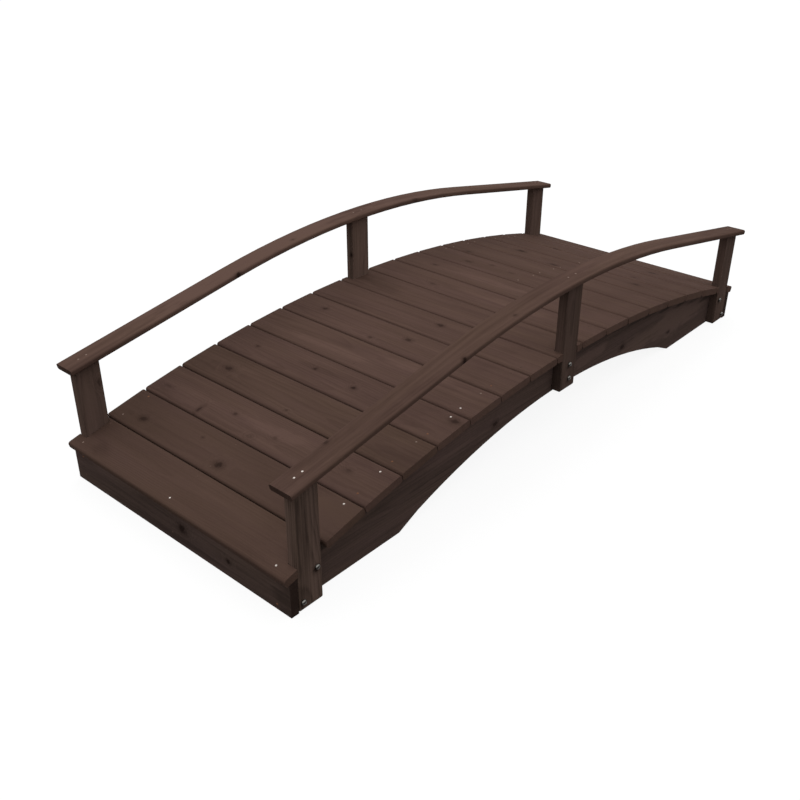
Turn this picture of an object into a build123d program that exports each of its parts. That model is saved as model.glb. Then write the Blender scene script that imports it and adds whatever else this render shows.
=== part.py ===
"""Arched garden moon bridge with a boarded deck, three sawn stringers and bent handrails.

X runs along the bridge, Y across it and Z up, with the origin on the ground at the
middle. All sizes are in millimetres.
"""

import os
from math import asin, atan, cos, degrees, sin, sqrt, tan

from build123d import *

os.makedirs("parts", exist_ok=True)

# Deck: flat boards laid square across an arc.
deck_length = 2408.0
deck_width = 927.0
deck_rise = 164.5
deck_end_height = 124.0
board_count = 17
board_thickness = 24.0
board_gap = 2.6
board_round = 8.0

# Stringers: three planks sawn to the arc, with feet and an arch below.
stringer_thickness = 38.0
foot_length = 402.0
crown_height = 147.0
arch_start_height = 34.0
foot_cut_length = 77.0

# End fascia boards.
fascia_thickness = 25.0
fascia_overhang = 19.0
fascia_inset = 2.0

# Posts: flat on the outside of the side stringers, just short of their ends.
post_width = 79.0
post_thickness = 32.0
post_inset = 1.5
post_setback = 2.0
post_round = 2.5
post_toe_round = 7.0
mid_post_bottom = 151.0
notch_clearance = 1.2

# Handrails: flat boards with rounded long edges, bent over the three posts of a side.
rail_width = 76.0
rail_thickness = 18.0
rail_overhang = 18.0
rail_rise = 160.0
rail_crown_height = 511.0
rail_bend_share = 0.49
rail_edge_round = 6.0

# Arc of the deck's top and of the seat the boards lie on.
top_radius = ((deck_length / 2) ** 2 + deck_rise**2) / (2 * deck_rise)
seat_radius = top_radius - board_thickness
arc_centre = deck_end_height + deck_rise - top_radius
half_angle = asin(deck_length / 2 / top_radius)
board_angle = 2 * half_angle / board_count
board_width = 2 * seat_radius * tan(board_angle / 2) - board_gap
end_angle = half_angle - board_angle / 2

# Lengthwise and sideways stations.
fascia_front = deck_length / 2 - fascia_overhang
stringer_end = fascia_front - fascia_thickness
post_outer = deck_width / 2 - post_inset
post_inner = post_outer - post_thickness
post_mid = (post_outer + post_inner) / 2
post_end = stringer_end - post_setback
end_post_x = post_end - post_width / 2
stringer_mid = post_inner - stringer_thickness / 2

# Handrail bend: a middle arc running into straight ends.
rail_half = stringer_end + rail_overhang
rail_bend_half = rail_half * rail_bend_share
rail_lean = atan(rail_rise / (rail_half - rail_bend_half / 2))
rail_radius = rail_bend_half / sin(rail_lean)


def seat_height(x):
    """Height of the stringers' top at a station along the bridge."""
    return arc_centre + sqrt(seat_radius**2 - x**2)


def end_board_under(x):
    """Height of the last board's underside at a station along the bridge."""
    touch_x = seat_radius * sin(end_angle)
    touch_z = arc_centre + seat_radius * cos(end_angle)
    return touch_z - (abs(x) - touch_x) * tan(end_angle)


def rail_under(x):
    """Height of the handrail's underside at a station along the bridge."""
    if abs(x) <= rail_bend_half:
        return rail_crown_height - rail_radius + sqrt(rail_radius**2 - x**2)
    bend_drop = rail_radius * (1 - cos(rail_lean))
    return rail_crown_height - bend_drop - (abs(x) - rail_bend_half) * tan(rail_lean)


def save(solid, name):
    """Write one named piece."""
    solid.label = name
    export_step(solid, f"parts/{name}.step")


def side_plane(y):
    """Upright plane along the bridge, standing at y."""
    return Plane(origin=(0, y, 0), x_dir=(1, 0, 0), z_dir=(0, -1, 0))


# Side stringers and the middle one, sawn to the deck's arc above and an arch below.
for label, y in (("near", -stringer_mid), ("middle", 0.0), ("far", stringer_mid)):
    foot_inner = stringer_end - foot_length
    arch_start = foot_inner - foot_cut_length
    with BuildPart() as stringer:
        with BuildSketch(side_plane(y)):
            with BuildLine():
                Polyline(
                    (stringer_end, seat_height(stringer_end)),
                    (stringer_end, 0),
                    (foot_inner, 0),
                    (arch_start, arch_start_height),
                )
                ThreePointArc(
                    (arch_start, arch_start_height),
                    (0, crown_height),
                    (-arch_start, arch_start_height),
                )
                Polyline(
                    (-arch_start, arch_start_height),
                    (-foot_inner, 0),
                    (-stringer_end, 0),
                    (-stringer_end, seat_height(stringer_end)),
                )
                ThreePointArc(
                    (-stringer_end, seat_height(stringer_end)),
                    (0, seat_height(0)),
                    (stringer_end, seat_height(stringer_end)),
                )
            make_face()
        extrude(amount=stringer_thickness / 2, both=True)
    save(stringer.part, f"stringer_{label}")

# Fascia boards across the stringers' ends, bevelled on top to the last board.
fascia_width = deck_width - 2 * fascia_inset
for label, side in (("left", -1), ("right", 1)):
    with BuildPart() as fascia:
        with BuildSketch(side_plane(0)):
            with BuildLine():
                Polyline(
                    (side * fascia_front, 0),
                    (side * stringer_end, 0),
                    (side * stringer_end, end_board_under(stringer_end)),
                    (side * fascia_front, end_board_under(fascia_front)),
                    close=True,
                )
            make_face()
        extrude(amount=fascia_width / 2, both=True)
    save(fascia.part, f"fascia_{label}")

# Posts, their tops cut to the underside of the handrail.
post_stations = (
    ("left", -end_post_x, 0.0),
    ("mid", 0.0, mid_post_bottom),
    ("right", end_post_x, 0.0),
)
for side_name, side in (("near", -1), ("far", 1)):
    for station, x, bottom in post_stations:
        low = x - post_width / 2
        high = x + post_width / 2
        with BuildPart() as post:
            with BuildSketch(side_plane(side * post_mid)):
                with BuildLine():
                    Polyline((low, rail_under(low)), (low, bottom), (high, bottom), (high, rail_under(high)))
                    if x == 0:
                        ThreePointArc(
                            (high, rail_under(high)),
                            (0, rail_under(0)),
                            (low, rail_under(low)),
                        )
                    else:
                        Line((high, rail_under(high)), (low, rail_under(low)))
                make_face()
            extrude(amount=post_thickness / 2, both=True)
            fillet(post.edges().filter_by(Axis.Z), post_round)
            fillet(post.edges().filter_by(Axis.Y).group_by(Axis.Z)[0], post_toe_round)
        save(post.part, f"post_{side_name}_{station}")

# Deck boards, each flat and square to the arc; three are notched round the posts. The thin
# strip beside the near left post has split off, so that its notch is open on one side.
notch_inner = post_inner - notch_clearance
notch_width = post_width + 2 * notch_clearance
notched_boards = {0: -end_post_x, board_count // 2: 0.0, board_count - 1: end_post_x}
for index in range(board_count):
    angle = -half_angle + (index + 0.5) * board_angle
    seat = Plane(
        origin=(seat_radius * sin(angle), 0, arc_centre + seat_radius * cos(angle)),
        x_dir=(cos(angle), 0, -sin(angle)),
        z_dir=(sin(angle), 0, cos(angle)),
    )
    with BuildPart() as board:
        with BuildSketch(seat):
            Rectangle(board_width, deck_width)
        extrude(amount=board_thickness)
        fillet(board.edges().filter_by(Axis.Y), board_round)
        if index in notched_boards:
            for side in (-1, 1):
                split_off = index == 0 and side == -1
                cut_length = board_width if split_off else notch_width
                corner = (
                    notched_boards[index] - notch_width / 2 + cut_length / 2,
                    side * (notch_inner + deck_width / 2),
                    deck_end_height,
                )
                with Locations(corner):
                    Box(cut_length, deck_width, 2 * deck_length, mode=Mode.SUBTRACT)
    save(board.part, f"deck_board_{index + 1:02d}")

# Handrails, bent over the posts.
lean_drop = rail_thickness * cos(rail_lean)
lean_run = rail_thickness * sin(rail_lean)
for side_name, side in (("near", -1), ("far", 1)):
    with BuildPart() as rail:
        with BuildSketch(side_plane(side * post_mid)):
            with BuildLine():
                bend_x = rail_bend_half
                bend_z = rail_under(rail_bend_half)
                end_z = rail_under(rail_half)
                ThreePointArc((-bend_x, bend_z), (0, rail_crown_height), (bend_x, bend_z))
                Line((bend_x, bend_z), (rail_half, end_z))
                Line((rail_half, end_z), (rail_half + lean_run, end_z + lean_drop))
                Line((rail_half + lean_run, end_z + lean_drop), (bend_x + lean_run, bend_z + lean_drop))
                ThreePointArc(
                    (bend_x + lean_run, bend_z + lean_drop),
                    (0, rail_crown_height + rail_thickness),
                    (-bend_x - lean_run, bend_z + lean_drop),
                )
                Line((-bend_x - lean_run, bend_z + lean_drop), (-rail_half - lean_run, end_z + lean_drop))
                Line((-rail_half - lean_run, end_z + lean_drop), (-rail_half, end_z))
                Line((-rail_half, end_z), (-bend_x, bend_z))
            make_face()
        extrude(amount=rail_width / 2, both=True)
        long_edges = rail.edges().filter_by(lambda edge: edge.length > rail_width * 1.1)
        fillet(long_edges, rail_edge_round)
    save(rail.part, f"handrail_{side_name}")
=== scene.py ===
"""Arched garden footbridge of stained softwood: finishes, nails, bolts, floor, light and camera."""

import logging
import math
import random
from dataclasses import dataclass, field
from enum import Enum

import bmesh
import bpy
from mathutils import Matrix, Vector
from mathutils.bvhtree import BVHTree


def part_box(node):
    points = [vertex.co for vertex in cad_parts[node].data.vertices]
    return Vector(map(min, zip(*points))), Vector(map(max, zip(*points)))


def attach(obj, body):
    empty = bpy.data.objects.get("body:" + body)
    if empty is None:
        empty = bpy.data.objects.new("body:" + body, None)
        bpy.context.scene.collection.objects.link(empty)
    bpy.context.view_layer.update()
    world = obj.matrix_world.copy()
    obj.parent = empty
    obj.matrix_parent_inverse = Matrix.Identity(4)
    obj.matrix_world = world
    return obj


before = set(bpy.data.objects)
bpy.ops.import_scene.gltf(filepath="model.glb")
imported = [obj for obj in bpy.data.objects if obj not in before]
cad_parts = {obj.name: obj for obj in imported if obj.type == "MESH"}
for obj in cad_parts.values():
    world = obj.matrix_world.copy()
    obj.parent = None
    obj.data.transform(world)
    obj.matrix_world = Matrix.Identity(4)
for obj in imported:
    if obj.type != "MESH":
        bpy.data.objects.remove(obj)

LOG = logging.getLogger("footbridge")
MM = 0.001
BODY = "root"
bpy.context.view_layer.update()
UNIT = (0.0, 1.0)
WHITE = (1.0, 1.0, 1.0, 1.0)
UP = Vector((0, 0, 1))
SIDES = {"near": -1, "far": 1}

# Where the lines that find a fastener's seat start, in metres from the bridge's middle.
OUTSIDE = 0.8
INSIDE = 0.2

Rgba = tuple[float, float, float, float]
Tree = bpy.types.NodeTree
Socket = bpy.types.NodeSocket
# What a node's input takes: a plain value, or another node's output to link.
Value = object
# Radius and height of each ring of a turned head, and the rows of a table of marks.
Profile = tuple[tuple[float, float], ...]
Rows = tuple[tuple, ...]


def linear(hex_colour: str, tone: float = 1.0) -> Rgba:
    """Turns an sRGB hex colour into linear light.

    Args:
        hex_colour: The colour as six hex digits after a hash.
        tone: How many times lighter to make it.

    Returns:
        Red, green and blue in linear light, and an alpha of 1.
    """
    knee, slope, offset, power = 0.04045, 12.92, 0.055, 2.4
    parts = [int(hex_colour[i:i + 2], 16) / 255 for i in (1, 3, 5)]
    light = [part / slope if part <= knee else ((part + offset) / (1 + offset)) ** power for part in parts]
    red, green, blue = (part * tone for part in light)
    return red, green, blue, 1.0


def add_node(tree: Tree, kind: str, inputs: dict[str | int, Value] | None = None,
             **settings: Value) -> bpy.types.Node:
    """Adds a shader node, sets its options and fills or links its inputs.

    Args:
        tree: The node tree that gets the node.
        kind: The node's type name, without "ShaderNode".
        inputs: Sockets by name or number, each with a plain value or an output to link.
        **settings: The node's own options.

    Returns:
        The new node.
    """
    node = tree.nodes.new("ShaderNode" + kind)
    for name, value in settings.items():
        setattr(node, name, value)
    for socket, value in (inputs or {}).items():
        if isinstance(value, Socket):
            tree.links.new(value, node.inputs[socket])
        else:
            node.inputs[socket].default_value = value
    return node


def new_material(name: str) -> tuple[bpy.types.Material, Tree]:
    """Makes an empty node material with that name, and gives it with its node tree."""
    material = bpy.data.materials.new(name)
    material.use_nodes = True
    material.node_tree.nodes.clear()
    return material, material.node_tree


def new_object(name: str, data: bpy.types.ID) -> bpy.types.Object:
    """Makes an object from its data and links it to the scene."""
    made = bpy.data.objects.new(name, data)
    bpy.context.scene.collection.objects.link(made)
    return made


def dress(piece: bpy.types.Object, material: bpy.types.Material) -> None:
    """Puts one material in every slot of a piece."""
    slots = piece.material_slots
    if not slots:
        piece.data.materials.append(material)
    for slot in slots:
        slot.link = "OBJECT"
        slot.material = material


def calc(tree: Tree, operation: str, *values: Value, clamp: bool = False) -> Socket:
    """Adds a sum of numbers and gives its result."""
    return add_node(tree, "Math", dict(enumerate(values)), operation=operation, use_clamp=clamp).outputs[0]


def vector(tree: Tree, operation: str, *values: Value) -> Socket:
    """Adds a sum of vectors and gives its result, which is a number for a length or a dot product."""
    node = add_node(tree, "VectorMath", dict(enumerate(values)), operation=operation)
    return node.outputs["Value" if operation in ("LENGTH", "DOT_PRODUCT") else "Vector"]


def mix(tree: Tree, factor: Value, first: Value, second: Value, blend: str = "MIX") -> Socket:
    """Adds a mix of two colours and gives its result."""
    return add_node(tree, "Mix", {"Factor": factor, "A": first, "B": second},
                    data_type="RGBA", blend_type=blend).outputs["Result"]


def ramp(tree: Tree, value: Socket, span: tuple[float, float],
         ends: tuple[float, float], curve: str = "LINEAR") -> Socket:
    """Adds a map from a span of values to new ones, held at both ends.

    Args:
        tree: The node tree that gets the node.
        value: What is mapped.
        span: The two values between which it changes.
        ends: What they are mapped to.
        curve: The node's interpolation type.

    Returns:
        The mapped value.
    """
    return add_node(tree, "MapRange", {
        "Value": value, "From Min": span[0], "From Max": span[1], "To Min": ends[0], "To Max": ends[1],
    }, interpolation_type=curve).outputs[0]


def finish_material(tree: Tree, **inputs: Value) -> None:
    """Adds the principled shader and the output. Underscores in names stand for spaces."""
    named = {name.replace("_", " "): value for name, value in inputs.items()}
    shader = add_node(tree, "BsdfPrincipled", named)
    add_node(tree, "OutputMaterial", {"Surface": shader.outputs[0]})


@dataclass(frozen=True)
class GrainLay:
    """How a plank's grain lies: a small frame along, across and through the plank.

    Attributes:
        origin: The plank's middle, in metres.
        along: The direction of the grain.
        face: The direction out of the plank's wide face.
    """

    origin: Vector
    along: Vector
    face: Vector

    def turn(self) -> Matrix:
        """Gives the rotation whose columns are along, across and face."""
        across = self.face.cross(self.along)
        return Matrix((self.along, across, self.face)).transposed()

    def local(self, point: Vector) -> Vector:
        """Gives a point of the frame, in metres, in the plank's own mm."""
        return self.turn().transposed() @ (point - self.origin) / MM


@dataclass(frozen=True)
class Knot:
    """A knot in a plank, drawn as an oval that the grain flows round.

    Attributes:
        at: Its place in the bridge's frame, in metres.
        radius, stretch: Its radius across the grain in mm, and how many times longer it is along it.
        depth: How dark it is, from 0 to 1.
        push: How far the grain flows round it, in its own radii. A painted shadow, such as the one under a
            bolt head, has 0.
        skin: 1 where it ends a radius under the face, 0 where it goes right through.
    """

    at: Vector
    radius: float = 9.0
    stretch: float = 1.3
    depth: float = 0.6
    push: float = 2.2
    skin: float = 0.0


@dataclass(frozen=True)
class Patch:
    """A soft oval where the wood took more or less stain, or where light or shade is painted on.

    Attributes:
        at, radius, stretch, skin: As for a knot.
        gain: How much lighter it is, or darker where it is under 0.
    """

    at: Vector
    radius: float
    stretch: float
    gain: float
    skin: float = 0.0


@dataclass(frozen=True)
class Figure:
    """Noise drawn out along the grain.

    Attributes:
        length, width: Its size along and across the grain, in mm.
        detail, rough: How many finer layers it has and how strong they are.
    """

    length: float
    width: float
    detail: float = 2.0
    rough: float = 0.5


BAND = Figure(300.0, 20.0)
BLOTCH = Figure(420.0, 75.0)
# Real fibres are 0.5 mm wide. They are drawn at 2.6 mm, so that they are seen.
FIBRE = Figure(14.0, 2.6, rough=0.7)
HUE = Figure(400.0, 60.0)
RING_WANDER = Figure(330.0, 70.0)
PATCH_EDGE = Figure(90.0, 25.0)
KNOT_EDGE = Figure(9.0, 9.0, detail=1.0)

# Where marks fade out, in radii from their middle, and how far their edges stray.
PATCH_SPAN = (0.4, 1.15)
KNOT_SPAN = (0.35, 1.1)
HALO_SPAN = (0.8, 2.3)
PUSH_SPAN = (0.0, 4.0)
PATCH_STRAY = 1.6
KNOT_STRAY = 1.1
HALO_DEPTH = 0.4

# Where a plank's pith may lie and lean, in mm and radians, and how far the rings stray from it, in mm.
PITH_SIDE = 45.0
PITH_DEPTH = (35.0, 120.0)
PITH_LEAN = (0.035, 0.03)
RING_STRAY = 22.0

# How a ring darkens towards its late wood, the share of it where the late wood ends, and its mean.
RING_POWER = 2.2
RING_EDGE = 0.88
RING_MEAN = 0.3

# How far one step of a plank's seed moves its pattern, in mm.
SEED_STEP = (911.0, 37.0, 53.0)
# The casts between which the hue drifts, and how squarely a face of end grain looks along the grain.
OLIVE_CAST = (1.0, 1.01, 0.98, 1.0)
RED_CAST = (1.0, 0.985, 1.05, 1.0)
END_FACING = (0.6, 0.9)


@dataclass(frozen=True)
class StainedCedar:
    """Planed cedar under a brown penetrating stain: matt, with soft streaks, ring lines and dark knots.

    The stain soaks into the soft early wood and less into the hard late wood, and deepest into
    end grain, which reads darker.

    Attributes:
        name: The material's name.
        light, dark, knot: The early wood, the late wood and the streaks, and a knot's middle.
        ring_width, ring_share: The growth rings' spacing in mm, and how much they show.
        streak_width, streak_length, streak_share: The same for the stain's streaks.
        band_share, blotch_share, fibre_share: How much bands of 20 mm, broad patches and short dark
            fibres show.
        hue_drift: How far the hue drifts along a plank, from olive brown to reddish brown.
        hue_lean: How far a plank's own blush moves its hue.
        end_share: How much deeper its end grain is stained.
        through: How far the pattern changes through the thickness, 0 for a bent lamination.
        roughness: The roughness of the dark wood and of the light wood.
        specular: How little the dry stain shines.
        streak_relief: How far the streaks stand up beside the rings.
        relief, relief_depth: How much the grain's relief shows and how deep it is, in mm.
    """

    name: str
    light: str = "#5C483F"
    dark: str = "#493831"
    knot: str = "#251A16"
    ring_width: float = 6.5
    ring_share: float = 0.35
    streak_width: float = 7.0
    streak_length: float = 260.0
    streak_share: float = 0.9
    band_share: float = 0.5
    blotch_share: float = 0.7
    fibre_share: float = 0.35
    hue_drift: float = 1.6
    hue_lean: float = 0.25
    end_share: float = 0.4
    through: float = 1.0
    roughness: tuple[float, float] = (0.9, 0.8)
    specular: float = 0.02
    streak_relief: float = 0.6
    relief: float = 0.25
    relief_depth: float = 0.8

    def cover(self, piece: str, lay: GrainLay, seed: float, tone: float = 1.0, blush: float = 0.0,
              knots: tuple[Knot, ...] = (), patches: tuple[Patch, ...] = ()) -> None:
        """Makes this finish for one plank and puts it on.

        Args:
            piece: The plank's name.
            lay: How its grain lies.
            seed: A number that moves the pattern to another part of the log.
            tone: How light this plank took the stain, 1 for the finish as written.
            blush: How reddish it is, from -1 for olive brown to 1 for reddish brown.
            knots: Its knots.
            patches: Its lighter and darker patches.
        """
        # The stains in this count are the shadows painted under the bolt heads.
        LOG.info("%s: %d knots or stains, %d patches", piece, len(knots), len(patches))
        material, tree = new_material(f"{self.name}_{piece}")
        place = add_node(tree, "TexCoord")
        plank = add_node(tree, "Mapping", {
            "Vector": place.outputs["Object"],
            "Location": lay.origin,
            "Rotation": lay.turn().to_euler(),
            "Scale": (MM, MM, MM),
        }, vector_type="TEXTURE").outputs[0]
        flat = vector(tree, "MULTIPLY", plank, (1.0, 1.0, self.through))
        moved = vector(tree, "ADD", flat, tuple(step * seed for step in SEED_STEP))
        bulge, core, halo = self._knots(tree, plank, lay, knots)
        late = self._rings(tree, flat, moved, seed, bulge)
        streak = self._noise(tree, moved, Figure(self.streak_length, self.streak_width, 4.0, 0.6))
        shade = self._weigh(tree, self._patches(tree, plank, lay, patches), (
            (late, -self.ring_share),
            (streak, self.streak_share),
            (self._noise(tree, moved, BAND), self.band_share),
            (self._noise(tree, moved, BLOTCH), self.blotch_share),
            (self._noise(tree, moved, FIBRE), self.fibre_share),
        ))
        colour = mix(tree, shade, linear(self.dark, tone), linear(self.light, tone))
        colour = self._blush(tree, colour, moved, blush)
        colour = self._end_grain(tree, colour, place.outputs["Normal"], lay)
        for mask in (halo, core):
            if mask is not None:
                colour = mix(tree, mask, colour, linear(self.knot))
        bump = add_node(tree, "Bump", {
            "Height": calc(tree, "MULTIPLY_ADD", streak, self.streak_relief, late),
            "Strength": self.relief, "Distance": self.relief_depth * MM,
        })
        finish_material(tree, Base_Color=colour, Roughness=ramp(tree, shade, UNIT, self.roughness),
                        Specular_IOR_Level=self.specular, Normal=bump.outputs[0])
        dress(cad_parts[piece], material)

    def _grain(self, tree: Tree, place: Socket, figure: Figure) -> bpy.types.Node:
        """Adds a figure's noise as it comes, with a number and a colour."""
        squeeze = (1 / figure.length, 1 / figure.width, 1 / figure.width)
        return add_node(tree, "TexNoise", {
            "Vector": vector(tree, "MULTIPLY", place, squeeze),
            "Scale": 1.0, "Detail": figure.detail, "Roughness": figure.rough,
        })

    def _noise(self, tree: Tree, place: Socket, figure: Figure) -> Socket:
        """Adds a figure's noise, about 0 in the middle."""
        return calc(tree, "SUBTRACT", self._grain(tree, place, figure).outputs[0], 0.5)

    def _reach(self, tree: Tree, plank: Socket, lay: GrainLay,
               mark: Knot | Patch, edge: Figure, stray: float) -> Socket:
        """Measures the way to a mark's middle.

        Args:
            tree: The material's node tree.
            plank: The place in the plank, in mm.
            lay: How the grain lies.
            mark: The knot or patch.
            edge: The noise that makes its edge stray.
            stray: How far the edge strays, in the mark's radii.

        Returns:
            The way to its middle, in the mark's radii.
        """
        squeeze = (1 / (mark.radius * mark.stretch), 1 / mark.radius, mark.skin / mark.radius)
        away = vector(tree, "SUBTRACT", plank, tuple(lay.local(mark.at)))
        reach = vector(tree, "LENGTH", vector(tree, "MULTIPLY", away, squeeze))
        return calc(tree, "MULTIPLY_ADD", self._noise(tree, plank, edge), stray, reach)

    def _patches(self, tree: Tree, plank: Socket, lay: GrainLay, patches: tuple[Patch, ...]) -> Value:
        """Gives the middle shade of 0.5, lighter or darker in each soft patch."""
        total: Value = 0.5
        for patch in patches:
            reach = self._reach(tree, plank, lay, patch, PATCH_EDGE, PATCH_STRAY)
            total = calc(tree, "ADD", total, ramp(tree, reach, PATCH_SPAN, (patch.gain, 0.0), "SMOOTHSTEP"))
        return total

    def _blush(self, tree: Tree, colour: Socket, moved: Socket, blush: float) -> Socket:
        """Lets the hue drift from olive brown to reddish brown in patches of about 60 mm by 400 mm."""
        drift = self._noise(tree, moved, HUE)
        share = calc(tree, "MULTIPLY_ADD", drift, self.hue_drift, 0.5 + self.hue_lean * blush, clamp=True)
        return mix(tree, 1.0, colour, mix(tree, share, OLIVE_CAST, RED_CAST), "MULTIPLY")

    def _weigh(self, tree: Tree, total: Value, parts: tuple[tuple[Socket, float], ...]) -> Value:
        """Adds weighted patterns to a start value, kept from 0 to 1."""
        for place, (socket, weight) in enumerate(parts, 1):
            total = calc(tree, "MULTIPLY_ADD", socket, weight, total, clamp=place == len(parts))
        return total

    def _rings(self, tree: Tree, flat: Socket, moved: Socket, seed: float, bulge: Socket | None) -> Socket:
        """Draws growth rings: the distance to a leaning, wandering pith, cut into ring widths.

        Args:
            tree: The material's node tree.
            flat: The place in the plank.
            moved: The same place, moved by the plank's seed.
            seed: The plank's seed, which also sets where its pith lies.
            bulge: How far the knots push the rings aside, in mm, if there are any.

        Returns:
            From -0.3 in early wood to about 0.45 in late wood.
        """
        draw = random.Random(int(seed * 1000))
        pith = (0.0, draw.uniform(-PITH_SIDE, PITH_SIDE), -draw.uniform(*PITH_DEPTH))
        lean = (0.0, *(draw.uniform(-most, most) for most in PITH_LEAN))
        stray = self._grain(tree, moved, RING_WANDER).outputs[1]
        bent = vector(tree, "MULTIPLY_ADD", stray, (0.0, RING_STRAY, RING_STRAY), flat)
        about = add_node(tree, "Mapping", {
            "Vector": bent, "Location": pith, "Rotation": lean,
        }, vector_type="POINT").outputs[0]
        reach = vector(tree, "LENGTH", vector(tree, "MULTIPLY", about, (0.0, 1.0, 1.0)))
        if bulge is not None:
            reach = calc(tree, "ADD", reach, bulge)
        part = calc(tree, "FRACT", calc(tree, "DIVIDE", reach, self.ring_width))
        late = calc(tree, "POWER", part, RING_POWER)
        edge = ramp(tree, part, (RING_EDGE, 1.0), (1.0, 0.0))
        return calc(tree, "SUBTRACT", calc(tree, "MULTIPLY", late, edge), RING_MEAN)

    def _knots(self, tree: Tree, plank: Socket, lay: GrainLay,
               knots: tuple[Knot, ...]) -> tuple[Socket | None, ...]:
        """Draws the knots.

        Args:
            tree: The material's node tree.
            plank: The place in the plank, in mm.
            lay: How the grain lies.
            knots: The plank's knots.

        Returns:
            The bulge of the rings in mm, the darkness of the knots and that of the wood round them.
        """
        bulge = core = halo = None
        for knot in knots:
            reach = self._reach(tree, plank, lay, knot, KNOT_EDGE, KNOT_STRAY)
            push = ramp(tree, reach, PUSH_SPAN, (knot.push * knot.radius, 0.0), "SMOOTHERSTEP")
            eye = ramp(tree, reach, KNOT_SPAN, (knot.depth, 0.0), "SMOOTHSTEP")
            ring = ramp(tree, reach, HALO_SPAN, (HALO_DEPTH * knot.depth, 0.0), "SMOOTHSTEP")
            bulge = self._gather(tree, bulge, push, "ADD")
            core = self._gather(tree, core, eye, "MAXIMUM")
            halo = self._gather(tree, halo, ring, "MAXIMUM")
        return bulge, core, halo

    def _gather(self, tree: Tree, total: Socket | None, more: Socket, how: str) -> Socket:
        """Joins one more knot's measure to those before it."""
        return more if total is None else calc(tree, how, total, more)

    def _end_grain(self, tree: Tree, colour: Socket, normal: Socket, lay: GrainLay) -> Socket:
        """Darkens the faces that cut across the grain, where the stain soaks in deepest."""
        facing = calc(tree, "ABSOLUTE", vector(tree, "DOT_PRODUCT", normal, tuple(lay.along)))
        end = ramp(tree, facing, END_FACING, (0.0, self.end_share))
        return mix(tree, end, colour, linear(self.knot))


class NailState(Enum):
    """How a nail head looks now."""

    BRIGHT = "bright"
    DULL = "dull"
    RUSTED = "rusted"
    STAINED = "stained"


@dataclass(frozen=True)
class ZincedSteel:
    """Hot dipped galvanised steel: a dull pale metal, with painted shade on the faces that turn down, away
    from the light.

    Attributes:
        painted_shade_share: How strongly the painted shade covers the lower faces, 0 for none.
        lit_way, painted_shade_span: The way up towards the light, and how far a face turns to it, from
            painted shade to none.
        spangle, uneven: How many grains the zinc has along a metre, and how their roughness differs.
    """

    name: str = "galvanised_steel"
    zinc: str = "#B4B2AE"
    # The dark colour painted on the lower faces as shade.
    painted_shade: str = "#1D1714"
    roughness: float = 0.38
    painted_shade_share: float = 0.0
    lit_way: tuple[float, float, float] = (-0.2, 0.0, 0.98)
    painted_shade_span: tuple[float, float] = (0.3, 0.7)
    spangle: float = 900.0
    uneven: tuple[float, float] = (-0.08, 0.12)

    def material(self) -> bpy.types.Material:
        """Makes the finish."""
        material, tree = new_material(self.name)
        place = add_node(tree, "TexCoord")
        grain = add_node(tree, "TexNoise", {
            "Vector": place.outputs["Object"], "Scale": self.spangle, "Detail": 2.0,
        })
        up = vector(tree, "DOT_PRODUCT", place.outputs["Normal"], self.lit_way)
        # Painted shade: faces that turn down, away from the light, take the dark colour, standing in for
        # the shade and dark reflections under a bolt head.
        under = ramp(tree, up, self.painted_shade_span, (self.painted_shade_share, 0.0), "SMOOTHSTEP")
        least, most = self.uneven
        gloss = ramp(tree, grain.outputs[0], UNIT, (self.roughness + least, self.roughness + most))
        finish_material(tree, Base_Color=mix(tree, under, linear(self.zinc), linear(self.painted_shade)),
                        Metallic=1.0, Roughness=gloss)
        return material


@dataclass(frozen=True)
class SpottedCoat:
    """A dry coat of two colours in small spots.

    Attributes:
        thick, thin: Its colours where it lies thick and thin.
        spot: The size of its spots, in mm.
    """

    name: str
    thick: str
    thin: str
    spot: float
    roughness: float
    specular: float = 0.5

    def material(self) -> bpy.types.Material:
        """Makes the finish."""
        material, tree = new_material(self.name)
        place = add_node(tree, "TexCoord").outputs["Object"]
        spots = add_node(tree, "TexNoise", {"Vector": place, "Scale": 1 / (self.spot * MM)}).outputs[0]
        finish_material(tree, Base_Color=mix(tree, spots, linear(self.thick), linear(self.thin)),
                        Roughness=self.roughness, Specular_IOR_Level=self.specular)
        return material


NAIL_COATS = {
    # Clean galvanised steel, which reads as a pale dot.
    NailState.BRIGHT: ZincedSteel("galvanised_nail_head", "#D8CFC8", roughness=0.45),
    # Zinc gone dull under dirt and thin stain, which reads as a faint dot.
    NailState.DULL: SpottedCoat("weathered_nail_head", "#75625A", "#907C70", 3.0, 0.8, 0.1),
    # Rust on bare steel: dry and powdery, and orange to brown.
    NailState.RUSTED: SpottedCoat("iron_rust", "#5B3623", "#8E5C38", 1.5, 0.85),
    # The same brown stain as the wood, which all but hides the head.
    NailState.STAINED: SpottedCoat("stained_nail_head", "#4A3830", "#5F4A40", 3.0, 0.8, 0.1),
}
# The bolt heads get painted shade on their lower faces; the nut and nail finishes get none.
BOLT_HEAD = ZincedSteel("zinc_plated_coach_bolt", "#8E8C87", roughness=0.3, painted_shade_share=0.97)
BOLT_NUT = ZincedSteel("zinc_plated_nut", "#8F8E8B", roughness=0.35)


@dataclass
class Seats:
    """Finds where a fastener meets the timber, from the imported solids."""

    trees: dict[str, BVHTree] = field(default_factory=dict)

    def on(self, node: str, start: Vector, way: Vector) -> tuple[Vector, Vector]:
        """Follows a line to a piece.

        Args:
            node: The piece's name.
            start: Where the line starts, outside the piece.
            way: The line's direction.

        Returns:
            The point on the piece and the face's normal there.
        """
        if node not in self.trees:
            graph = bpy.context.evaluated_depsgraph_get()
            self.trees[node] = BVHTree.FromObject(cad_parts[node], graph)
        point, normal, _, _ = self.trees[node].ray_cast(start, way)
        if point is None:
            raise ValueError(f"no seat on {node} from {tuple(start)}")
        return point, normal


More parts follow.
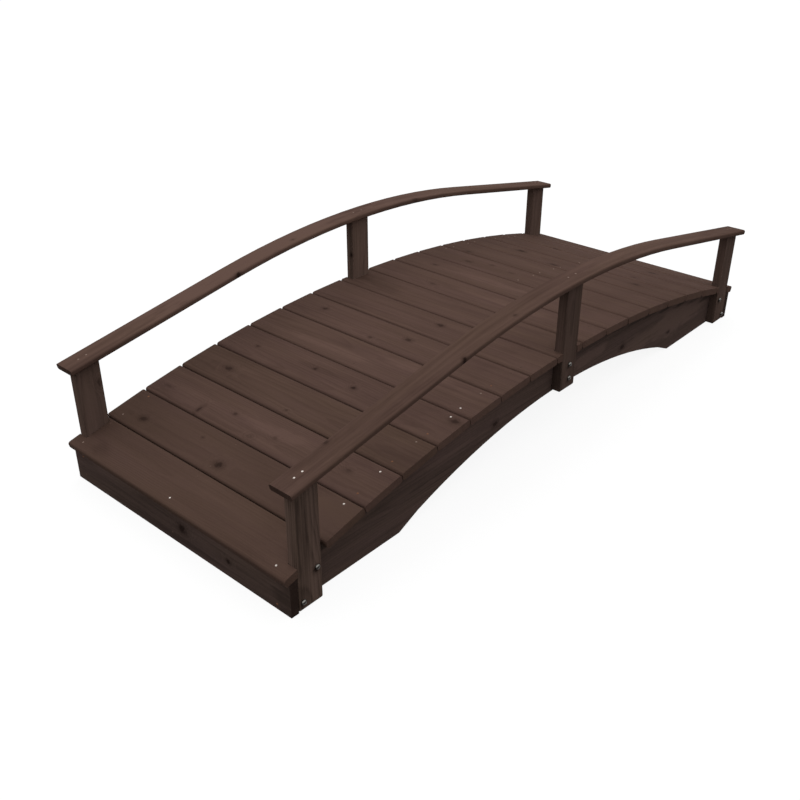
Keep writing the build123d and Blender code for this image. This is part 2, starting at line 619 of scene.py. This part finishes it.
@dataclass
class TurnedHeads:
    """Round heads made from one profile, turned about their axis and joined in one mesh.

    Attributes:
        name: The piece's name.
        profile: Radius and height of each ring from the rim up, in mm.
        sides: How many sides a ring has.
    """

    name: str
    profile: Profile
    sides: int = 16
    mesh: bmesh.types.BMesh = field(default_factory=bmesh.new)

    def add(self, point: Vector, normal: Vector, spin: float = 0.0) -> None:
        """Adds one head, its underside on a point and its axis along the normal."""
        place = Matrix.Translation(point) @ normal.to_track_quat("Z", "Y").to_matrix().to_4x4()
        rings = []
        for radius, height in self.profile:
            ring = []
            for step in range(self.sides):
                angle = spin + 2 * math.pi * step / self.sides
                spot = Vector((radius * math.cos(angle), radius * math.sin(angle), height)) * MM
                ring.append(self.mesh.verts.new(place @ spot))
            rings.append(ring)
        for low, high in zip(rings, rings[1:]):
            for step in range(self.sides):
                after = (step + 1) % self.sides
                self.mesh.faces.new((low[step], low[after], high[after], high[step]))
        self.mesh.faces.new(rings[-1])
        self.mesh.faces.new(reversed(rings[0]))

    def finish(self, material: bpy.types.Material, smooth: bool = True) -> None:
        """Makes the joined piece, dresses it and lets it ride on the bridge."""
        mesh = bpy.data.meshes.new(self.name)
        self.mesh.normal_update()
        for face in self.mesh.faces:
            face.smooth = smooth and len(face.verts) == 4
        self.mesh.to_mesh(mesh)
        self.mesh.free()
        piece = new_object(self.name, mesh)
        dress(piece, material)
        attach(piece, BODY)
        LOG.info("%s: %d faces", self.name, len(mesh.polygons))


@dataclass
class DeckBoards:
    """The seventeen flat cross boards on their arc.

    Attributes:
        count: How many boards there are.
        smooth, smooth_count: The finish and the number of the clear, even boards at the left end.
        finish: The finish of the others, with stronger streaks.
        tones: How light each board took the stain.
        blushes: How reddish each board is.
        knots: Board, place along the walk and across it in mm, radius, stretch and depth.
        patches: The same, with a gain in place of the depth.
        lit_end_at, lit_end_radius: Where the boards' near ends get painted light, and how far, in mm.
        lit_end_gain: How much lighter the painted light makes them.
        seed, log: The seed that picks each board's part of the log, and the span it picks from.
    """

    count: int = 17
    # Painted light on the near ends of the boards.
    lit_end_at: float = -450.0
    lit_end_gain: float = 0.25
    lit_end_radius: float = 110.0
    seed: int = 11
    log: tuple[float, float] = (1.0, 40.0)
    smooth_count: int = 2
    smooth: StainedCedar = StainedCedar(
        "oil_stained_cedar_deck", streak_share=0.6, band_share=0.2, ring_share=0.2, end_share=0.0,
    )
    finish: StainedCedar = StainedCedar(
        "oil_stained_cedar_deck", streak_share=0.9, band_share=0.6, end_share=0.0,
    )
    tones: tuple[float, ...] = (
        0.9, 0.89, 1.02, 0.91, 1.0, 1.05, 1.04, 1.02, 1.02, 1.04, 1.05, 1.02, 1.0, 1.0, 0.99, 0.99, 1.0,
    )
    blushes: tuple[float, ...] = (
        -0.7, -0.9, 0.8, -0.9, 0.9, 0.7, 0.9, 0.5, 0.0, 0.6, 0.7, 0.4, 0.2, 0.4, 0.3, 0.5, 0.4,
    )
    knots: Rows = (
        (2, -23, 344, 11, 1.3, 0.62), (2, -31, -11, 12, 1.3, 0.72), (2, 20, 118, 4, 1.5, 0.35),
        (3, -45, 230, 15, 0.5, 0.6), (3, -1, 118, 6, 1.5, 0.45), (3, -22, 407, 5, 3.0, 0.3),
        (3, -45, 4, 6, 1.6, 0.25), (3, -12, -64, 7, 1.5, 0.25), (3, 5, -334, 8, 1.4, 0.3),
        (4, -2, 314, 11, 1.4, 0.62), (4, -50, 1, 4, 1.4, 0.35), (5, 5, 82, 6, 1.3, 0.65),
        (5, -4, -87, 8, 1.3, 0.75), (5, -7, 333, 6, 1.5, 0.45), (5, 38, -436, 11, 1.4, 0.6),
        (7, 11, 335, 8, 1.4, 0.55), (7, -45, 77, 6, 1.5, 0.45), (7, 16, -34, 10, 1.4, 0.6),
        (8, 14, -49, 10, 1.4, 0.6), (10, -21, 194, 9, 1.8, 0.35), (11, -4, 317, 8, 1.5, 0.5),
        (12, -16, 261, 9, 1.8, 0.45), (12, 18, 175, 7, 1.8, 0.3), (12, 2, 71, 7, 1.8, 0.35),
        (13, -53, 343, 8, 1.8, 0.45), (14, 18, 237, 12, 1.7, 0.7), (14, -43, 42, 10, 2.0, 0.6),
        (14, 16, -283, 9, 1.8, 0.5), (15, -31, -226, 8, 1.8, 0.4), (16, -64, 204, 8, 2.0, 0.4),
        (16, -6, -217, 10, 1.8, 0.6),
    )
    # The patch on board 2 at -400 mm across is painted light on its near end, like the lit ends.
    patches: Rows = (
        (1, -30, 352, 30, 1.6, -0.35), (1, 25, -120, 45, 4.0, 0.1), (2, 10, -400, 100, 0.9, 0.35),
        (3, 10, -60, 30, 5.0, 0.45), (3, -30, 330, 30, 3.0, 0.2), (4, 10, -280, 50, 3.0, 0.1),
        (5, 10, 60, 16, 9.0, -0.3), (6, -20, 120, 18, 12.0, 0.4), (6, 35, -150, 25, 8.0, 0.35),
        (9, 0, 320, 60, 2.0, -0.25), (10, 10, -100, 30, 7.0, 0.35), (11, 0, 60, 30, 7.0, 0.3),
    )

    def centre(self, number: int) -> Vector:
        """Gives a board's middle from its box."""
        low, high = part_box(f"deck_board_{number:02d}")
        return (low + high) / 2

    def lean(self, number: int) -> float:
        """Gives a board's slope along the walk, in radians, from the arc through the boards' middles."""
        crown = self.centre((self.count + 1) // 2)
        end = self.centre(1)
        drop = crown.z - end.z
        radius = (end.x ** 2 + drop ** 2) / (2 * drop)
        return -math.asin(self.centre(number).x / radius)

    def lay(self, number: int) -> GrainLay:
        """Gives a board's grain: across the bridge, its face square to the arc."""
        lean = self.lean(number)
        face = Vector((-math.sin(lean), 0, math.cos(lean)))
        return GrainLay(self.centre(number), Vector((0, -1, 0)), face)

    def point(self, number: int, along: float, y: float) -> Vector:
        """Gives a point in a board from its place along the walk and across it, in mm from its middle."""
        lean = self.lean(number)
        step = Vector((math.cos(lean), 0, math.sin(lean))) * along * MM
        middle = self.centre(number)
        return Vector((middle.x, 0, middle.z)) + step + Vector((0, y * MM, 0))

    def build(self) -> None:
        """Dresses each board as its own plank of the same stained cedar."""
        draw = random.Random(self.seed)
        for number in range(1, self.count + 1):
            knots = tuple(Knot(self.point(number, along, y), *oval)
                          for board, along, y, *oval in self.knots if board == number)
            # Painted light: each board's near end is made lighter, as though more light fell there.
            lit_end = Patch(self.point(number, 0.0, self.lit_end_at), self.lit_end_radius, 1.0, self.lit_end_gain)
            patches = tuple(Patch(self.point(number, along, y), *oval)
                            for board, along, y, *oval in self.patches if board == number)
            finish = self.smooth if number <= self.smooth_count else self.finish
            finish.cover(f"deck_board_{number:02d}", self.lay(number), draw.uniform(*self.log),
                         self.tones[number - 1], self.blushes[number - 1], knots, (*patches, lit_end))


def on_face(name: str, out: Vector, along: float, height: float) -> Vector:
    """Gives a point on an upright face of a piece.

    Args:
        name: The piece's name.
        out: The face's direction, along X or Y.
        along: The point's place along the face, in mm.
        height: Its height, in mm.

    Returns:
        The point, in metres.
    """
    low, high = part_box(name)
    if out.x:
        return Vector((high.x if out.x > 0 else low.x, along * MM, height * MM))
    return Vector((along * MM, high.y if out.y > 0 else low.y, height * MM))


@dataclass
class Frame:
    """The arched stringers and the fascia boards at the ends.

    Attributes:
        stringer, fascia: The finishes.
        planks: Each piece with its seed and the direction of its outer face.
        knots: By piece, place along it and height in mm, radius, stretch and depth.
        patches: The same, with a gain in place of the depth.
        overhang_shadow: Radius, stretch and gain of the patches of painted shadow under the boards' ends.
        overhang_shadow_at, overhang_shadow_under: Where those lie along the bridge and how far under the
        boards, in mm.
        seat_radius: The radius of the stringers' upper arc, in mm.
    """

    stringer: StainedCedar = StainedCedar(
        "oil_stained_cedar_stringer", light="#604E47", dark="#443833", streak_length=520.0,
        streak_width=9.0, streak_share=1.1, ring_share=0.35, band_share=0.4,
    )
    fascia: StainedCedar = StainedCedar(
        "oil_stained_cedar_fascia", light="#5E4D46", dark="#423631", streak_length=420.0,
        streak_width=8.0, streak_share=1.2, ring_share=0.25, band_share=0.8, end_share=0.7,
    )
    planks: Rows = (
        ("stringer_near", 3, (0, -1, 0)), ("stringer_middle", 4, (0, 1, 0)),
        ("stringer_far", 5, (0, 1, 0)), ("fascia_left", 7, (-1, 0, 0)), ("fascia_right", 8, (1, 0, 0)),
    )
    knots: dict[str, Rows] = field(default_factory=lambda: {
        "stringer_near": (
            ((-334, 157), 10, 1.5, 0.75), ((400, 139), 11, 1.5, 0.75), ((750, 72), 8, 1.5, 0.75),
        ),
        "fascia_left": (((-41, 58), 14, 1.3, 1.0), ((-229, 50), 7, 1.3, 1.0)),
    })
    patches: dict[str, Rows] = field(default_factory=lambda: {
        "stringer_near": (
            ((-900, 60), 60, 5.0, -0.15), ((-560, 170), 30, 6.0, 0.25), ((170, 190), 25, 5.0, 0.75),
            ((520, 110), 45, 4.0, 0.5), ((820, 110), 60, 3.5, 0.9),
        ),
        "fascia_left": (
            # The first fascia patch, at the near end beside the post and under the boards' overhang, is
            # painted shade.
            ((-455, 55), 60, 1.0, -0.55), ((60, 15), 18, 16.0, -0.3), ((250, 80), 16, 9.0, 0.3),
            ((-250, 85), 14, 9.0, 0.25),
        ),
    })
    # Painted shadow under the boards' overhang on the outer stringers.
    overhang_shadow: tuple[float, float, float] = (9.0, 8.0, -0.8)
    overhang_shadow_at: range = range(-1045, 1046, 110)
    overhang_shadow_under: float = 25.0
    seat_radius: float = 4464.0

    def overhang_shadow_line(self, name: str, out: Vector) -> tuple[Patch, ...]:
        """Gives the patches of painted shadow under the boards' overhang on a stringer's outer face."""
        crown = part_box(name)[1].z / MM - self.overhang_shadow_under
        return tuple(Patch(on_face(name, out, x, crown - x * x / (2 * self.seat_radius)), *self.overhang_shadow)
                     for x in self.overhang_shadow_at)

    def build(self) -> None:
        """Dresses the stringers and the fascias."""
        for name, seed, facing in self.planks:
            out = Vector(facing)
            low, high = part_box(name)
            knots = tuple(Knot(on_face(name, out, *at), *oval) for at, *oval in self.knots.get(name, ()))
            patches = tuple(Patch(on_face(name, out, *at), *oval)
                            for at, *oval in self.patches.get(name, ()))
            # Painted shadow where the boards' ends overhang the outer stringers.
            if name in ("stringer_near", "stringer_far"):
                patches += self.overhang_shadow_line(name, out)
            grain = Vector((0, 1, 0)) if out.x else Vector((1, 0, 0))
            finish = self.fascia if out.x else self.stringer
            lay = GrainLay((low + high) / 2, grain, out)
            finish.cover(name, lay, seed, knots=knots, patches=patches)


@dataclass
class Railing:
    """The six posts and the two bent handrails.

    Attributes:
        bold, calm, rail: The finishes of the near left post, the other posts and the rails.
        rail_knots: Side, place along and across the bridge in mm, radius, stretch and depth.
        rail_patches: The same, with a gain in place of the depth.
        post_knots, post_patches: Post, place in mm, and then as for the rails.
        bolt_shadows: Place along the bridge and height of the bolts in mm, and how dark the painted shadow
            under each is.
        shadow_drop: How far along and up from its bolt a painted shadow lies, in mm.
        shadow_oval: A painted shadow's radius in mm and its stretch.
        tones: How light some pieces took the stain.
        first_seed: The seed before the first piece's.
    """

    bold: StainedCedar = StainedCedar(
        "oil_stained_cedar_post", light="#6A574D", dark="#453831", streak_length=380.0, streak_width=6.0,
        streak_share=1.6, ring_share=0.6, ring_width=7.0, band_share=1.2,
    )
    calm: StainedCedar = StainedCedar(
        "oil_stained_cedar_post", light="#655249", dark="#4A3C35", streak_length=380.0, streak_width=6.0,
        streak_share=1.1, ring_share=0.5, ring_width=7.0, band_share=0.9,
    )
    rail: StainedCedar = StainedCedar(
        "oil_stained_cedar_rail", light="#5C483F", dark="#483730", streak_length=600.0, streak_width=9.0,
        streak_share=1.0, ring_share=0.15, band_share=1.2, through=0.05,
    )
    rail_knots: Rows = (
        ("near", -1005, -415, 7, 1.4, 0.45), ("near", -317, -464, 6, 1.4, 0.45),
        ("near", -563, -484, 6, 1.4, 0.9), ("far", -318, 432, 6, 1.4, 0.4), ("far", -573, 408, 7, 1.4, 0.9),
        ("far", 271, 409, 6, 3.0, 0.4),
    )
    rail_patches: Rows = (
        ("near", -950, -446, 60, 5.0, -0.3), ("near", 560, -446, 70, 8.0, 0.3),
        ("far", -420, 446, 70, 8.0, 0.6), ("far", 300, 446, 60, 6.0, 0.2),
    )
    post_knots: Rows = (
        ("post_far_left", (-1091, 430, 291), 8, 1.5, 0.4), ("post_far_mid", (-39.5, 440, 378), 6, 1.5, 1.0),
    )
    post_patches: Rows = (
        ("post_near_left", (-1150, -462, 190), 8, 24.0, -0.5),
        ("post_near_left", (-1118, -462, 150), 7, 14.0, 0.2),
        ("post_near_left", (-1160, -438, 220), 10, 24.0, 0.5),
        ("post_far_mid", (-39, 441, 380), 7, 24.0, -0.7),
        ("post_near_mid", (-39.5, -446, 340), 12, 24.0, 0.35),
        # Painted shade: the near middle post is darkened below the deck, in the corner under the boards'
        # overhang.
        ("post_near_mid", (-39.5, -446, 200), 24, 2.4, -0.7),
    )
    # Painted shadows under the bolt heads, one for each bolt.
    bolt_shadows: Rows = (
        (-1093, 106.5, 0.9), (-1143, 27, 0.6), (4, 237, 0.5), (7, 188, 0.5), (1102, 99, 0.5),
        (1144, 25, 0.5),
    )
    shadow_drop: tuple[float, float] = (-5.0, -7.0)
    shadow_oval: tuple[float, float] = (9.0, 1.2)
    tones: dict[str, float] = field(default_factory=lambda: {
        "handrail_far": 1.08, "post_far_mid": 1.28, "post_near_mid": 0.87, "post_far_left": 1.08,
        "post_far_right": 1.12,
    })
    first_seed: int = 20

    def dress_post(self, name: str, out: Vector, seed: int) -> None:
        """Dresses one post, with the shadows painted under its bolts, its knots and its patches."""
        low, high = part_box(name)
        # Painted shadow: a dark oval below each bolt head on the post's outer face, where the head casts
        # its shadow.
        right, rise = self.shadow_drop
        marks = [Knot(Vector(((x + right) * MM, low.y, (z + rise) * MM)), *self.shadow_oval, depth, push=0.0)
                 for x, z, depth in self.bolt_shadows if out.y < 0 and low.x < x * MM < high.x]
        marks += [Knot(Vector(at) * MM, *oval, skin=1.0)
                  for post, at, *oval in self.post_knots if post == name]
        patches = tuple(Patch(Vector(at) * MM, *oval, skin=1.0)
                        for post, at, *oval in self.post_patches if post == name)
        finish = self.bold if name == "post_near_left" else self.calm
        lay = GrainLay((low + high) / 2, Vector((0, 0, 1)), out)
        finish.cover(name, lay, seed, self.tones.get(name, 1.0), knots=tuple(marks), patches=patches)

    def dress_rail(self, side: str, seed: int) -> None:
        """Dresses the rail of one side, with its knots and patches."""
        name = f"handrail_{side}"
        low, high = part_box(name)
        knots = tuple(Knot(Vector((x * MM, y * MM, high.z)), *oval)
                      for rail, x, y, *oval in self.rail_knots if rail == side)
        patches = tuple(Patch(Vector((x * MM, y * MM, high.z)), *oval)
                        for rail, x, y, *oval in self.rail_patches if rail == side)
        lay = GrainLay((low + high) / 2, Vector((1, 0, 0)), Vector((0, 0, 1)))
        self.rail.cover(name, lay, seed, self.tones.get(name, 1.0), knots=knots, patches=patches)

    def build(self) -> None:
        """Dresses the posts and the rails."""
        seed = self.first_seed
        for side, out in SIDES.items():
            for place in ("left", "mid", "right"):
                seed += 1
                self.dress_post(f"post_{side}_{place}", Vector((0, out, 0)), seed)
            seed += 1
            self.dress_rail(side, seed)


@dataclass
class Nails:
    """The nails of the deck, the fascias and the rails, gathered by how their heads look now.

    Attributes:
        deck, seats: What says where the boards are and where a nail meets the timber.
        spread: How far a board's nails are from its middle along the walk, in mm.
        stray: How far a deck nail strays along and across the walk, in mm.
        rows: Where the rows are across the walk, in mm.
        profile: The head's form from the rim up, in mm.
        rail_y, rail_x: Where the rail nails are across and along the bridge, in mm.
        bright_before: The near rail's nails are bright up to here along the bridge, in mm.
        fascia_at, fascia_rusted: Where the fascia nails are, and the rusted ones: across and up, in mm.
        known: The deck nails with a state of their own, by board, row and side.
        seed: The seed of the strays.
    """

    deck: DeckBoards
    seats: Seats
    spread: float = 48.0
    stray: tuple[float, float] = (2.0, 4.0)
    rows: tuple[float, ...] = (-411.0, 6.0, 421.0)
    profile: Profile = ((2.9, -1.0), (2.9, 0.1), (2.5, 0.45), (1.3, 0.7))
    rail_y: float = 443.5
    rail_x: tuple[float, ...] = (-1134.0, -1108.0, -20.0, 20.0, 1108.0, 1134.0)
    bright_before: float = -1000.0
    fascia_at: Rows = ((420, 88), (420, 25), (6, 88), (6, 25), (-411, 88), (-411, 17))
    fascia_rusted: Rows = ((420, 88), (-411, 17))
    known: dict[NailState, tuple[tuple[int, int, int], ...]] = field(default_factory=lambda: {
        NailState.BRIGHT: ((1, 0, -1), (1, 1, -1), (2, 0, 1), (3, 0, 1), (5, 0, 1), (6, 0, -1)),
        NailState.RUSTED: ((3, 0, -1), (4, 0, -1), (5, 0, -1), (7, 0, -1), (2, 2, 1)),
        NailState.DULL: (
            (4, 0, 1), (6, 0, 1), (1, 2, -1), (2, 2, -1), (12, 1, -1), (12, 1, 1), (13, 1, -1), (13, 1, 1),
            (14, 1, -1), (15, 1, -1), (12, 2, 1), (13, 2, -1), (13, 2, 1), (14, 2, -1), (15, 2, -1),
            (15, 2, 1), (16, 2, -1),
        ),
    })
    seed: int = 5

    def deck_state(self, nail: tuple[int, int, int]) -> NailState:
        """Gives a deck nail's state from its board, row and side: stained over where it doesn't show."""
        return next((state for state, nails in self.known.items() if nail in nails), NailState.STAINED)

    def build(self) -> None:
        """Seats every nail and makes one joined piece for each state."""
        heads = {state: TurnedHeads(f"nails_{state.value}", self.profile) for state in NailState}
        self.nail_deck(heads)
        self.nail_rails(heads)
        self.nail_fascias(heads)
        for state, coat in NAIL_COATS.items():
            heads[state].finish(coat.material())

    def nail_deck(self, heads: dict[NailState, TurnedHeads]) -> None:
        """Adds two nails a row to each deck board."""
        draw = random.Random(self.seed)
        far_along, far_across = self.stray
        for number in range(1, self.deck.count + 1):
            for row, y in enumerate(self.rows):
                for side in (-1, 1):
                    along = side * self.spread + draw.uniform(-far_along, far_along)
                    across = y + draw.uniform(-far_across, far_across)
                    start = self.deck.point(number, along, across) + OUTSIDE * UP
                    seat = self.seats.on(f"deck_board_{number:02d}", start, -UP)
                    heads[self.deck_state((number, row, side))].add(*seat)

    def nail_rails(self, heads: dict[NailState, TurnedHeads]) -> None:
        """Adds two nails over each post to the rails."""
        for side, out in SIDES.items():
            for x in self.rail_x:
                start = Vector((x * MM, out * self.rail_y * MM, 0.0)) + OUTSIDE * UP
                clean = out < 0 and x < self.bright_before
                seat = self.seats.on(f"handrail_{side}", start, -UP)
                heads[NailState.BRIGHT if clean else NailState.DULL].add(*seat)

    def nail_fascias(self, heads: dict[NailState, TurnedHeads]) -> None:
        """Adds two nails to the fascias at each stringer."""
        for name, out in (("fascia_left", -1), ("fascia_right", 1)):
            face = Vector((out, 0, 0))
            for y, z in self.fascia_at:
                start = on_face(name, face, y, z) + OUTSIDE * face
                rusted = (y, z) in self.fascia_rusted
                seat = self.seats.on(name, start, -face)
                heads[NailState.RUSTED if rusted else NailState.STAINED].add(*seat)


@dataclass
class CoachBolts:
    """The domed bolts that clamp each post to its stringer, with a washer and a nut inside.

    Attributes:
        seats: What says where a bolt meets the timber.
        places: By post, where its bolts are along the bridge and up, in mm.
        dome, washer, nut, shank: Their forms outward from the timber, in mm.
        spin: A nut's turn in radians, before its place in mm is added, so that no two stand alike.
    """

    seats: Seats
    places: dict[str, tuple[tuple[float, float], ...]] = field(default_factory=lambda: {
        "left": ((-1094.5, 106.5), (-1145, 27)), "mid": ((2.5, 237), (5.5, 188)),
        "right": ((1101, 99), (1143, 25)),
    })
    dome: Profile = (
        (7.4, -0.5), (7.4, 2.0), (7.1, 3.4), (6.2, 4.9), (4.7, 6.0), (2.6, 6.7), (1.0, 6.9),
    )
    washer: Profile = ((11.0, -0.2), (11.0, 1.4), (10.7, 1.7))
    nut: Profile = ((6.9, 1.6), (7.4, 2.0), (7.4, 7.6), (6.9, 8.0))
    shank: Profile = ((4.0, 7.0), (4.0, 12.6), (3.4, 13.2))
    spin: float = 0.3

    def build(self) -> None:
        """Seats each bolt's head on its post and its washer and nut on the stringer's inner face."""
        heads = TurnedHeads("coach_bolt_heads", self.dome, 28)
        washers = TurnedHeads("coach_bolt_washers", self.washer, 28)
        nuts = TurnedHeads("coach_bolt_nuts", self.nut, 6)
        shanks = TurnedHeads("coach_bolt_ends", self.shank, 16)
        for side, out in SIDES.items():
            way = Vector((0, out, 0))
            for place, spots in self.places.items():
                for x, z in spots:
                    middle = Vector((x * MM, 0.0, z * MM))
                    heads.add(*self.seats.on(f"post_{side}_{place}", middle + OUTSIDE * way, -way))
                    inner = self.seats.on(f"stringer_{side}", middle + INSIDE * way, way)
                    washers.add(*inner)
                    nuts.add(*inner, spin=self.spin + x)
                    shanks.add(*inner)
        plain = BOLT_NUT.material()
        heads.finish(BOLT_HEAD.material())
        for part in (washers, nuts, shanks):
            part.finish(plain, smooth=False)


@dataclass
class PaleFloor:
    """A plain white floor that keeps a faint soft shadow and sends little light back up.

    Attributes:
        half: Half its side, in metres.
        glow: How white it shines by itself where it is seen.
        lit: How much of the light on it shows, which gives the soft shadow.
        bounce: Its colour for the light that it sends back to the bridge.
    """

    half: float = 40.0
    glow: float = 0.9
    lit: float = 0.13
    bounce: str = "#3A3836"

    def build(self) -> None:
        """Makes the floor and dresses it."""
        mesh = bpy.data.meshes.new("floor")
        corners = [(x * self.half, y * self.half, 0.0) for x, y in ((-1, -1), (1, -1), (1, 1), (-1, 1))]
        mesh.from_pydata(corners, [], [(0, 1, 2, 3)])
        floor = new_object("floor", mesh)
        material, tree = new_material("plain_white_floor")
        material.cycles.emission_sampling = "NONE"
        white = add_node(tree, "BsdfDiffuse", {"Color": (self.lit, self.lit, self.lit, 1.0)})
        glow = add_node(tree, "Emission", {"Color": WHITE, "Strength": self.glow})
        shown = add_node(tree, "AddShader", {0: white.outputs[0], 1: glow.outputs[0]})
        grey = add_node(tree, "BsdfDiffuse", {"Color": linear(self.bounce)})
        seen = background_rays(tree)
        both = add_node(tree, "MixShader", {0: seen, 1: grey.outputs[0], 2: shown.outputs[0]})
        add_node(tree, "OutputMaterial", {"Surface": both.outputs[0]})
        dress(floor, material)


def background_rays(tree: Tree) -> Socket:
    """Adds a switch that is 1 for rays that show the background, straight or in metal, else 0."""
    path = add_node(tree, "LightPath").outputs
    seen = calc(tree, "MAXIMUM", path["Is Camera Ray"], path["Is Glossy Ray"])
    return calc(tree, "MAXIMUM", seen, path["Is Transmission Ray"])


@dataclass
class OvercastStudio:
    """Plain soft light, strongest from above: a dome and one large panel.

    Attributes:
        low, high: The dome's strength at the horizon and overhead.
        panel_power: The panel's power, in watts. It faces the bridge.
        panel_size, panel_at: Its side and its place, in metres.
    """

    low: float = 0.3
    high: float = 1.35
    panel_power: float = 8.0
    panel_size: float = 2.6
    panel_at: tuple[float, float, float] = (0.7, 0.5, 3.2)

    def build(self) -> None:
        """Makes the world and the panel."""
        world = bpy.data.worlds.new("overcast_dome")
        world.use_nodes = True
        bpy.context.scene.world = world
        tree = world.node_tree
        tree.nodes.clear()
        up = add_node(tree, "SeparateXYZ", {0: add_node(tree, "TexCoord").outputs["Generated"]}).outputs[2]
        level = ramp(tree, up, UNIT, (self.low, self.high))
        sky = add_node(tree, "Background", {"Color": WHITE, "Strength": level})
        white = add_node(tree, "Background", {"Color": WHITE, "Strength": 1.0})
        seen = background_rays(tree)
        both = add_node(tree, "MixShader", {0: seen, 1: sky.outputs[0], 2: white.outputs[0]})
        add_node(tree, "OutputWorld", {"Surface": both.outputs[0]})
        lamp = bpy.data.lights.new("soft_panel", "AREA")
        lamp.energy = self.panel_power
        lamp.size = self.panel_size
        panel = new_object("soft_panel", lamp)
        panel.location = self.panel_at
        panel.rotation_euler = (-Vector(self.panel_at)).to_track_quat("-Z", "Y").to_euler()


@dataclass
class PhotoCamera:
    """The camera at the photograph's viewpoint, as solved from the bridge's own edges.

    Attributes:
        at: Its place, in metres.
        heading: The direction of view about +Z from +X, in degrees.
        dip, roll: How far it looks down and is turned about its own axis, in degrees.
        focal, sensor: Its focal length and its sensor's width, in mm.
        shift: The picture's shift, as a share of its width.
    """

    at: tuple[float, float, float] = (-2.3336, -1.8328, 1.6135)
    heading: float = 41.079
    dip: float = 29.219
    roll: float = 0.365
    focal: float = 43.21
    sensor: float = 36.0
    shift: tuple[float, float] = (-0.0102, -0.0069)

    def build(self) -> None:
        """Makes the camera and gives it to the scene."""
        turn, down, roll = (math.radians(a) for a in (self.heading, self.dip, self.roll))
        look = Vector((math.cos(down) * math.cos(turn), math.cos(down) * math.sin(turn), -math.sin(down)))
        side = Vector((math.sin(turn), -math.cos(turn), 0.0))
        top = side.cross(look)
        right = math.cos(roll) * side + math.sin(roll) * top
        up = math.cos(roll) * top - math.sin(roll) * side
        lens = bpy.data.cameras.new("photo_camera")
        lens.lens = self.focal
        lens.sensor_width = self.sensor
        lens.shift_x, lens.shift_y = self.shift
        camera = new_object("photo_camera", lens)
        turned = Matrix((right, up, -look)).transposed().to_4x4()
        camera.matrix_world = Matrix.Translation(Vector(self.at)) @ turned
        bpy.context.scene.camera = camera


def main() -> None:
    """Builds the stage, dresses each sub-assembly and adds its fasteners."""
    logging.basicConfig(level=logging.INFO, format="%(name)s: %(message)s")
    bpy.context.scene.view_settings.view_transform = "Standard"
    PhotoCamera().build()
    OvercastStudio().build()
    PaleFloor().build()
    seats = Seats()
    deck = DeckBoards()
    deck.build()
    Frame().build()
    Railing().build()
    Nails(deck, seats).build()
    CoachBolts(seats).build()


if __name__ == "__main__":
    main()
